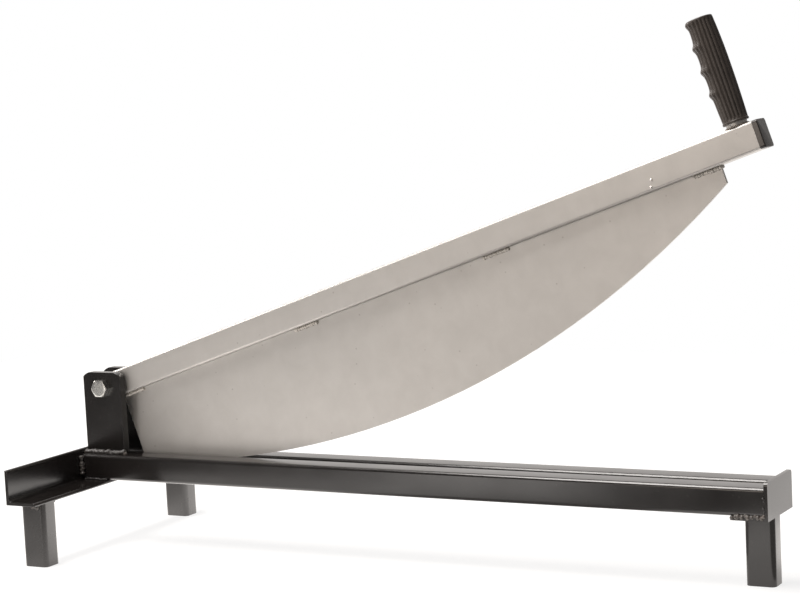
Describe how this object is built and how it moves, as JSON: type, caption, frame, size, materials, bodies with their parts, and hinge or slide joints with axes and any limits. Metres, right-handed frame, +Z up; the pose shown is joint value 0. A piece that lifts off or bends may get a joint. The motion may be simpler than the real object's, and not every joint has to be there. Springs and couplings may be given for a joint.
{
  "type": "slate cutter",
  "caption": "Free-standing slate cutter: a curved blade under a pivoted lever arm shears slate into the slot of a low tube bed on short legs.",
  "frame": {"origin": "on the ground, under the middle of the whole machine's box", "axes": "+X along the bed from the pivot end to the handle end, +Y across the bed to the far side, +Z up"},
  "size_m": [0.8522, 0.35, 0.5833],
  "materials": {
    "black_paint": "semi-gloss black paint on mild steel",
    "bare_steel": "bare cold-rolled steel, satin",
    "zinc_plate": "bright zinc plate",
    "grey_plastic": "moulded dark grey plastic",
    "black_rubber": "moulded fluted rubber"
  },
  "bodies": {
    "frame": {"front_rail": "black_paint", "rear_rail": "black_paint", "cross_angle": "black_paint", "end_angle": "black_paint", "front_left_leg": "black_paint", "rear_left_leg": "black_paint", "right_leg": "black_paint", "front_upright": "black_paint", "rear_upright": "black_paint", "pivot_bolt": "zinc_plate", "nut_washer": "zinc_plate", "pivot_nut": "zinc_plate", "cross_angle_welds": "black_paint", "end_angle_welds": "black_paint", "leg_welds": "black_paint", "upright_welds": "black_paint"},
    "lever": {"arm_tube": "bare_steel", "pivot_sleeve": "bare_steel", "spacer_washers": "zinc_plate", "blade": "bare_steel", "blade_welds": "bare_steel", "arm_end_cap": "grey_plastic", "handle_bar": "bare_steel", "handle_weld": "bare_steel", "hand_grip": "black_rubber"}
  },
  "joints": [
    {"name": "lever_pivot", "type": "hinge", "parent": "frame", "child": "lever", "pos_m": [-0.39309, 0, 0.186], "axis": [0, -1, 0], "range_deg": [-22.7, 56]}
  ]
}
